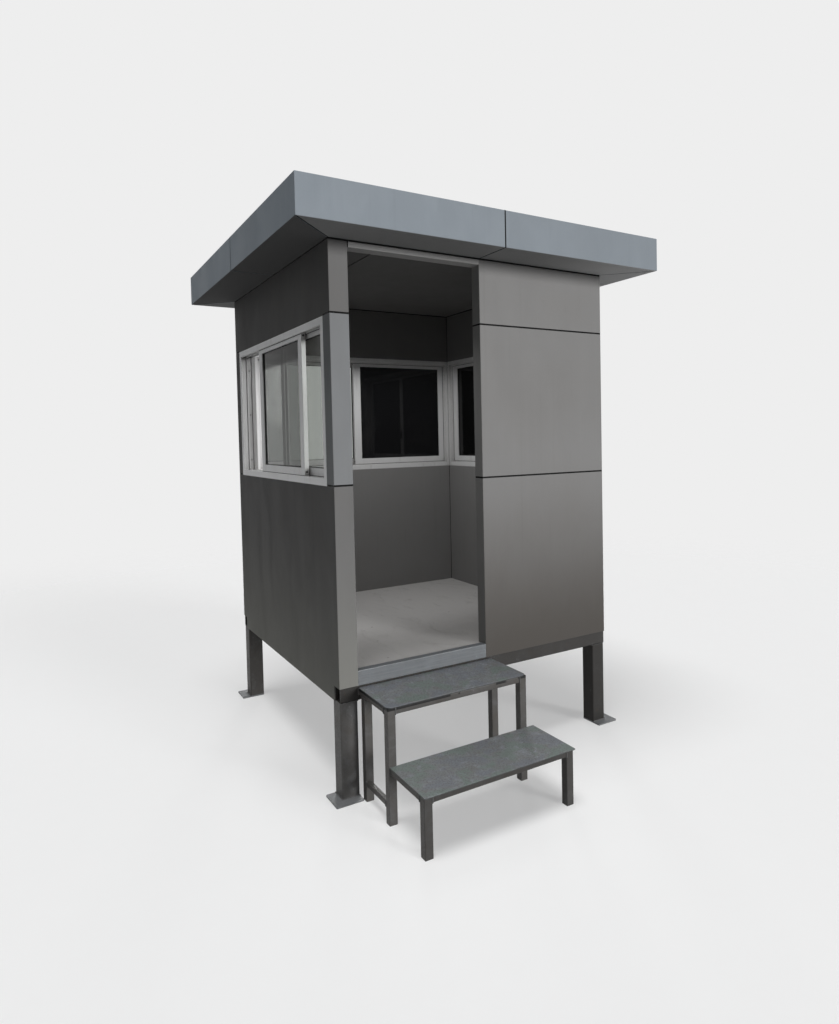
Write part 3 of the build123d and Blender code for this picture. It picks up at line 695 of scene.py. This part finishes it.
def coveRun(low, high, axis, inward):
    # along an inner corner of the ceiling, with its free lower edge rounded hollow
    run = addBar("coveRun", low, high)
    edge = (high if inward > 0 else low)[axis]

    def isFree(end):
        return abs(end.z - low[z]) < 1e-5 and abs(end[axis] - edge) < 1e-5

    pickEdges(run, lambda first, second: isFree(first) and isFree(second))
    bpy.ops.mesh.bevel(offset=sealant["cove"] * 0.85, segments=3, profile=0.3, affect="EDGES")
    leaveEdit()
    return run


def roomSealant():
    joint, cove = sealant["liningJoint"], sealant["cove"]
    across = [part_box("ceiling")[0].x + reach for reach in sealant["ceilingRun"]]
    runs = [sealantRun(z, -1, soffit, {x: across, y: (roomFront, roomBack)})]
    for bottom, top in ((floorTop, sillJoint[0]), (headJoint[0], soffit)):
        runs.append(sealantRun(y, -1, roomBack, {x: (roomLeft, roomLeft + joint), z: (bottom, top)}))
        runs.append(sealantRun(x, -1, roomRight, {y: (roomBack - joint, roomBack), z: (bottom, top)}))
    foot = soffit - cove
    runs += [
        coveRun((roomLeft, roomFront, foot), (roomLeft + cove, roomBack, soffit), x, 1),
        coveRun((roomRight - cove, roomFront, foot), (roomRight, roomBack, soffit), x, -1),
        coveRun((roomLeft, roomBack - cove, foot), (roomRight, roomBack, soffit), y, -1),
        coveRun((doorRight, roomFront, foot), (roomRight, roomFront + cove, soffit), y, 1),
    ]
    return joinAs("roomSealant", runs, "sealant")


wallSealant()
roofSealant()
roomSealant()
print("sealant in")

# the axis along which the sashes of each window slide; it faces along the other one
slides = {"left_window": y, "back_window": x, "right_window": y}
# glazing gaskets: a rounded rubber frame on both faces of each pane
gasket = {"width": 0.0040, "height": 0.0030, "hidden": 0.0077, "round": 0.0010}


def gasketRing(low, high, along, side):
    letGo()
    axis = x if along == y else y
    middle = (low + high) / 2
    middle[axis] = (high if side > 0 else low)[axis] + side * gasket["height"]
    turn = (0, side * math.pi / 2, 0) if axis == x else (-side * math.pi / 2, 0, 0)
    bpy.ops.mesh.primitive_plane_add(size=1, location=middle, rotation=turn)
    ring = bpy.context.object
    tall, wide = (high - low).z - 2 * gasket["hidden"], (high - low)[along] - 2 * gasket["hidden"]
    ring.scale = (tall, wide, 1) if axis == x else (wide, tall, 1)
    settle()
    pickAll(ring)
    bpy.ops.mesh.inset(thickness=gasket["width"])
    bpy.ops.mesh.delete(type="FACE")
    leaveEdit()
    useModifier(ring, "SOLIDIFY", thickness=gasket["height"], offset=-1)
    useModifier(ring, "BEVEL", width=gasket["round"], segments=2, limit_method="ANGLE")
    return ring


for window, along in slides.items():
    panes = solidsOf(window + "_glass")
    rings = [gasketRing(low, high, along, side) for low, high in panes for side in (-1, 1)]
    joinAs(window + "_gaskets", rings, "gasket")
print("gaskets in")

# pile strips: a dark line along the track edges, on both faces of each sash
pile = {"thick": 0.0009, "proud": 0.0028, "buried": 0.0040, "groove": 0.8}


def pileStrips(low, high, along, opens):
    # the spans of the strips that one face of this sash carries
    first, last = max(low[along], opens[along][0]), min(high[along], opens[along][1])
    strips = []
    for edge, inward in ((opens[z][0], 1), (opens[z][1], -1)):
        reach = (edge - inward * pile["buried"], edge + inward * pile["proud"])
        strips.append({along: (first, last), z: reach})
    for edge, inward, end in ((opens[along][0], 1, low), (opens[along][1], -1, high)):
        if inward * (end[along] - edge) < 0:  # this side of the sash runs into the jamb
            reach = (edge - inward * pile["buried"], edge + inward * pile["proud"])
            strips.append({along: reach, z: opens[z]})
    return strips


def windowPile(window, along):
    runs = []
    axis = x if along == y else y
    frameLow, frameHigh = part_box(window + "_frame")
    opens = {way: (frameLow[way] + frameFace, frameHigh[way] - frameFace) for way in (along, z)}
    for low, high in solidsOf(window + "_sashes"):
        for face in (low[axis] - pile["thick"], high[axis]):
            for strip in pileStrips(low, high, along, opens):
                start, end = [0, 0, 0], [0, 0, 0]
                start[axis], end[axis] = face, face + pile["thick"]
                for way, reach in strip.items():
                    start[way], end[way] = min(reach), max(reach)
                run = addBar("pileRun", start, end)
                pickFaces(run, lambda middle, normal: abs(normal[axis]) > 0.9)
                bpy.ops.mesh.inset(thickness=pile["thick"] * pile["groove"])
                leaveEdit()
                runs.append(run)
    return joinAs(window + "_pile", runs, "gasket")


for window, along in slides.items():
    windowPile(window, along)
print("pile strips in")

# pan-head screws: at the ends of the sashes, and through the open jamb of the left window
screw = {"head": 0.0056, "height": 0.0022, "slot": 0.0011, "sashUp": 0.029, "sashDown": 0.020, "clear": 0.08}
jambScrew = {"in": 0.055, "up": (0.0985, 0.3965, 0.6875), "groove": 0.010}


def panHead(radius, height):
    head = addRod(16, radius, height, height / 2)
    pickTop(head)
    bpy.ops.mesh.bevel(offset=height * 0.45, segments=2, affect="EDGES")
    leaveEdit()
    cross = []
    for turn in (0, math.pi / 2):
        half = screw["slot"] / 2
        bar = addBar("slot", (-radius * 0.6, -half, height * 0.55), (radius * 0.6, half, height * 1.5))
        bar.data.transform(Matrix.Rotation(turn, 4, "Z"))
        cross.append(bar)
    for bar in cross:
        useModifier(head, "BOOLEAN", object=bar, operation="DIFFERENCE", solver="EXACT")
        drop(bar)
    smooth(head, 35)
    return head


def windowScrews():
    model = panHead(screw["head"], screw["height"])
    heads = []
    for window, along in slides.items():
        frameLow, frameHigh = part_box(window + "_frame")
        for low, high in solidsOf(window + "_sashes"):
            for end, side in ((low, -1), (high, 1)):
                clearance = min(abs(end[along] - frameLow[along]), abs(end[along] - frameHigh[along]))
                if clearance < screw["clear"]:
                    continue  # this end is in the groove of the jamb
                for height in (low.z + screw["sashUp"], high.z - screw["sashDown"]):
                    place = (low + high) / 2
                    place[along], place.z = end[along], height
                    direction = Vector((0, 0, 0))
                    direction[along] = side
                    heads.append(copyTo(model, place, turnTowards(direction)))
    frameLow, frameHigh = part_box("left_window_frame")
    grooveEnd = frameHigh.y - frameFace + jambScrew["groove"]
    for up in jambScrew["up"]:
        place = (left + jambScrew["in"], grooveEnd, frameLow.z + up)
        heads.append(copyTo(model, place, turnTowards((0, -1, 0))))
    drop(model)
    return joinAs("windowScrews", heads, "darkScrew")


windowScrews()
print("window screws in")

# crescent latches inside, on the meeting stile of each inner sash
latch = {
    "up": 0.2535, "stile": 0.027, "plate": (0.016, 0.074), "thick": 0.003, "boss": 0.009, "crescent": 0.017,
    "tail": 0.034, "lift": 0.0035, "handle": 0.006, "round": 0.0006,
}


def latchModel():
    # lies flat: x is across the stile, y is up it, z faces the room
    wide, tall, thick = latch["plate"][0] / 2, latch["plate"][1] / 2, latch["thick"]
    boss, tail, handle = latch["boss"], latch["tail"] / 2, latch["handle"]
    plate = addBar("plate", (-wide, -tall, 0), (wide, tall, thick))
    pickEdges(plate, lambda first, second: abs(first.z - second.z) > thick / 2)
    bpy.ops.mesh.bevel(offset=wide * 0.9, segments=5, affect="EDGES")
    leaveEdit()
    pivot = addRod(24, boss, 2 * latch["lift"], thick + latch["lift"])
    pickTop(pivot)
    bpy.ops.mesh.inset(thickness=0.002)
    bpy.ops.transform.translate(value=(0, 0, 0.0015))
    leaveEdit()
    crescent = addRod(32, latch["crescent"], 0.004, thick + latch["lift"])
    pickAll(crescent)
    bpy.ops.mesh.bisect(plane_co=(0.002, 0, 0), plane_no=(1, 0, 0), clear_inner=True, use_fill=True)
    leaveEdit()
    grip = addBar("grip", (-handle, -boss, thick + 0.003), (handle, -boss + 0.004, thick + 0.007))
    pickFaces(grip, lambda middle, normal: normal.y < -0.9)
    bpy.ops.mesh.extrude_region_move(TRANSFORM_OT_translate={"value": (0, 0.004 - tail, 0.001)})
    bpy.ops.mesh.extrude_region_move(TRANSFORM_OT_translate={"value": (0, -tail, 0.004)})
    bpy.ops.transform.resize(value=(0.7, 1, 0.8))
    leaveEdit()
    model = joined((plate, pivot, crescent, grip))
    edges = {"limit_method": "ANGLE", "angle_limit": math.radians(40)}
    useModifier(model, "BEVEL", width=latch["round"], segments=2, **edges)
    smooth(model, 35)
    return model


def windowLatches():
    model = latchModel()
    latches = []
    for window, side in (("left_window", 1), ("right_window", -1)):
        outer, inner = sorted(solidsOf(window + "_sashes"), key=lambda box: side * box[0].x)
        meeting = 1 if inner[0].y < outer[0].y else -1
        place = Vector((0, 0, sillJoint[0] + latch["up"]))
        place.x = (inner[1] if side > 0 else inner[0]).x
        place.y = (inner[1] if meeting > 0 else inner[0]).y - meeting * latch["stile"]
        latches.append(copyTo(model, place, turnOnto(Vector((0, meeting, 0)), Vector((side, 0, 0)))))
    drop(model)
    return joinAs("windowLatches", latches, "latch")


windowLatches()
print("latches in")

# weld beads: one drop of metal, repeated along each seam
weld = {
    "radius": 0.0038, "pitch": 0.0031, "squash": 0.8, "sunk": 0.3, "lean": 0.6,
    "leg": 0.090, "beam": 0.060,  # widths of the steel they join
}


def weldDrop():
    letGo()
    radius = weld["radius"]
    lying = (0, math.pi / 2, 0)
    bpy.ops.mesh.primitive_uv_sphere_add(segments=8, ring_count=6, radius=radius, rotation=lying)
    bead = bpy.context.object
    settle()
    pickAll(bead)
    bpy.ops.transform.resize(value=(weld["squash"], 1, 1))
    foot = (0, 0, -radius * weld["sunk"])
    bpy.ops.mesh.bisect(plane_co=foot, plane_no=(0, 0, 1), clear_inner=True, use_fill=True)
    leaveEdit()
    return bead


def weldRun(bead, start, end, outward):
    start, end = Vector(start), Vector(end)
    length = (end - start).length
    count = max(2, round(length / weld["pitch"]))
    step = length / count
    run = copyTo(bead, (0, 0, 0))
    evenly = {"use_relative_offset": False, "use_constant_offset": True}
    useModifier(run, "ARRAY", count=count, constant_offset_displace=(step, 0, 0), **evenly)
    along = (end - start).normalized()
    turn = turnOnto(along, Vector(outward).normalized())
    run.data.transform(Matrix.Translation(start + along * step / 2) @ turn)
    return run


def legWelds(bead):
    runs = []
    beamLow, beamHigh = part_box("base_beams")
    leg, beam, top = weld["leg"], weld["beam"], beamLow.z
    for sideX, outX in ((-1, beamLow.x), (1, beamHigh.x)):
        for sideY, outY in ((-1, beamLow.y), (1, beamHigh.y)):
            inX, inY = outX - sideX * leg, outY - sideY * leg
            runs += [
                weldRun(bead, (outX, outY, basePlate), (outX, inY, basePlate), (sideX, 0, 1)),
                weldRun(bead, (outX, outY, basePlate), (inX, outY, basePlate), (0, sideY, 1)),
                weldRun(bead, (inX, outY, top), (inX, outY - sideY * beam, top), (-sideX, 0, -1)),
                weldRun(bead, (outX, inY, top), (outX - sideX * beam, inY, top), (0, -sideY, -1)),
            ]
    return runs


def stepWelds(bead):
    runs = []
    rails = solidsOf("step_rails")
    for low, high in rails:
        lies, across = (x, y) if (high - low).x > (high - low).y else (y, x)
        for end, side in ((low, -1), (high, 1)):
            # the two upright seams and the one underneath, where this rail butts on a leg or the base
            for edge, lean in ((low, -1), (high, 1), (low, 0)):
                start, finish, outward = Vector(low), Vector(high), Vector((0, 0, 0))
                start[lies] = finish[lies] = end[lies]
                if lean:
                    start[across] = finish[across] = edge[across]
                    outward[across] = lean
                else:
                    finish.z = low.z
                    outward.z = -1
                outward[lies] = -side * weld["lean"]
                runs.append(weldRun(bead, start, finish, outward))
    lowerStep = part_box("lower_tread")[1].z
    under = min(low.z for low, high in rails if low.z > lowerStep)
    for low, high in solidsOf("step_legs"):
        if abs(high.z - under) < 0.001:  # this leg stands under a side rail of the upper tread
            for edge, side in ((low.y, -1), (high.y, 1)):
                outward = (0, side, -weld["lean"])
                runs.append(weldRun(bead, (low.x, edge, under), (high.x, edge, under), outward))
    return runs


bead = weldDrop()
joinAs("legWelds", legWelds(bead), "weld")
joinAs("stepWelds", stepWelds(bead), "weld")
drop(bead)
print("welds in")

# hexagon roofing screws, each on a rubber-backed washer
roofScrew = {
    "across": 0.0052, "head": 0.0050, "chamfer": 0.0008, "washer": 0.0095, "plate": 0.0012, "rubber": 0.0010,
    "rows": 7, "edge": 0.045,
}


def roofScrewModel():
    plate, rubber = roofScrew["plate"], roofScrew["rubber"]
    washer = addRod(24, roofScrew["washer"], plate, rubber + plate / 2)
    pickTop(washer)
    bpy.ops.mesh.inset(thickness=roofScrew["washer"] * 0.35)
    bpy.ops.transform.translate(value=(0, 0, plate))
    leaveEdit()
    pickFaces(washer, lambda middle, normal: normal.z < -0.9)
    bpy.ops.mesh.extrude_region_move(TRANSFORM_OT_translate={"value": (0, 0, -rubber)})
    leaveEdit()
    head = addRod(6, roofScrew["across"], roofScrew["head"], 0.0025 + roofScrew["head"] / 2)
    pickTop(head)
    bpy.ops.mesh.bevel(offset=roofScrew["chamfer"], segments=1, affect="EDGES")
    leaveEdit()
    return joined((washer, head))


def roofScrews():
    model = roofScrewModel()
    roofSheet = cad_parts["roof_sheet"]
    low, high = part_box("roof_sheet")
    margin, rows = roofScrew["edge"], roofScrew["rows"]
    heads = []
    for rafterLow, rafterHigh in solidsOf("roof_rafters"):
        for row in range(rows):
            alongRafter = low.y + margin + row / (rows - 1) * (high.y - low.y - 2 * margin)
            above = Vector(((rafterLow.x + rafterHigh.x) / 2, alongRafter, high.z + 0.1))
            place, normal = roofSheet.ray_cast(above, Vector((0, 0, -1)))[1:3]
            turn = turnTowards(normal) @ Matrix.Rotation(random.uniform(0, 1), 4, "Z")
            heads.append(copyTo(model, place, turn))
    drop(model)
    return joinAs("roofScrews", heads, "screw")


roofScrews()
print("roof screws in")

# plain pale floor, soft light and a camera
studio = {
    "background": 0.855, "ambient": 0.12, "floorGlow": 0.36, "floorColor": 0.50, "floorBounce": 0.26,
    "floorSize": 60, "fadeFrom": 3.0, "fadeTo": 9.0,
}
# direction, power, softness in degrees
suns = {
    "keyLight": ((-0.36, 0.92, -0.18), 2.5, 20),
    "topLight": ((0.16, 0.08, -0.98), 2.1, 26),
    "backFill": ((-0.45, -0.88, -0.12), 1.2, 12),
}
# what comes in by the doorway and windows, as a broad soft glow under the ceiling
roomLight = {"place": (0.0, 0.2, 2.25), "size": 1.2, "power": 8.5}
camera = {
    "place": (-2.0549, -3.6878, 1.7284), "yaw": 31.553, "pitch": -2.068, "roll": -1.18,
    "lens": 24.224, "sensor": 36.0, "shift": (-0.0335, -0.0492),
}


def seenByCamera(mat):
    # one for what is seen outright, in a reflection or through glass; zero for what only lights
    path = addNode(mat, "LightPath").outputs
    mirrored = calc(mat, "MAXIMUM", path["Is Camera Ray"], path["Is Glossy Ray"])
    return calc(mat, "MAXIMUM", mirrored, path["Is Transmission Ray"])


def makeFloor():
    letGo()
    bpy.ops.mesh.primitive_plane_add(size=studio["floorSize"], location=(0, 0, 0))
    floor = bpy.context.object
    floor.name = "floor"
    mat, place = startMaterial("studioFloor")
    tone = studio["floorColor"]
    grain = blendColors(mat, noise(mat, place, 8.0, 3.0), gray(tone * 0.99), gray(tone * 1.01))
    pale = addNode(mat, "BsdfDiffuse", {"Color": grain})
    glow = addNode(mat, "Emission", {"Color": gray(1.0), "Strength": studio["floorGlow"]})
    glowing = addNode(mat, "AddShader", {0: pale.outputs["BSDF"], 1: glow.outputs["Emission"]})
    dim = addNode(mat, "BsdfDiffuse", {"Color": gray(studio["floorBounce"])})
    seen = seenByCamera(mat)
    lit = addNode(mat, "MixShader", {0: seen, 1: dim.outputs["BSDF"], 2: glowing.outputs["Shader"]})
    far = addNode(mat, "VectorMath", {0: place}, operation="LENGTH").outputs["Value"]
    fade = spread(mat, far, studio["fadeFrom"], studio["fadeTo"])
    clear = addNode(mat, "BsdfTransparent")
    faded = addNode(mat, "MixShader", {0: fade, 1: lit.outputs["Shader"], 2: clear.outputs["BSDF"]})
    addNode(mat, "OutputMaterial", {"Surface": faded.outputs["Shader"]})
    floor.data.materials.append(mat)


def makeWorld():
    world = bpy.data.worlds.new("studio")
    bpy.context.scene.world = world
    world.use_nodes = True
    world.node_tree.nodes.clear()
    pale = addNode(world, "Background", {"Color": gray(studio["background"])})
    soft = addNode(world, "Background", {"Color": gray(studio["ambient"], -0.03)})
    seen = seenByCamera(world)
    mixed = addNode(world, "MixShader", {0: seen, 1: soft.outputs[0], 2: pale.outputs[0]})
    addNode(world, "OutputWorld", {"Surface": mixed.outputs[0]})


def addObject(name, data, location):
    thing = bpy.data.objects.new(name, data)
    bpy.context.collection.objects.link(thing)
    thing.location = location
    return thing


def makeLights():
    for name, (direction, power, softness) in suns.items():
        data = bpy.data.lights.new(name, "SUN")
        data.energy, data.angle = power, math.radians(softness)
        sun = addObject(name, data, (0, 0, 6))
        sun.rotation_euler = Vector(direction).to_track_quat("-Z", "Y").to_euler()
    data = bpy.data.lights.new("roomLight", "AREA")
    data.shape, data.size, data.energy = "SQUARE", roomLight["size"], roomLight["power"]
    lamp = addObject("roomLight", data, roomLight["place"])
    lamp.visible_camera = lamp.visible_glossy = lamp.visible_transmission = False


def makeCamera():
    data = bpy.data.cameras.new("camera")
    data.lens, data.sensor_width = camera["lens"], camera["sensor"]
    data.shift_x, data.shift_y = camera["shift"]
    shot = addObject("camera", data, camera["place"])
    turn = Matrix.Rotation(math.radians(-camera["yaw"]), 4, "Z")
    tilt = Matrix.Rotation(math.radians(90 + camera["pitch"]), 4, "X")
    lean = Matrix.Rotation(math.radians(camera["roll"]), 4, "Z")
    shot.rotation_euler = (turn @ tilt @ lean).to_euler()
    bpy.context.scene.camera = shot
    bpy.context.scene.view_settings.view_transform = "Standard"


makeFloor()
makeWorld()
makeLights()
makeCamera()
print("floor, lights and camera set")
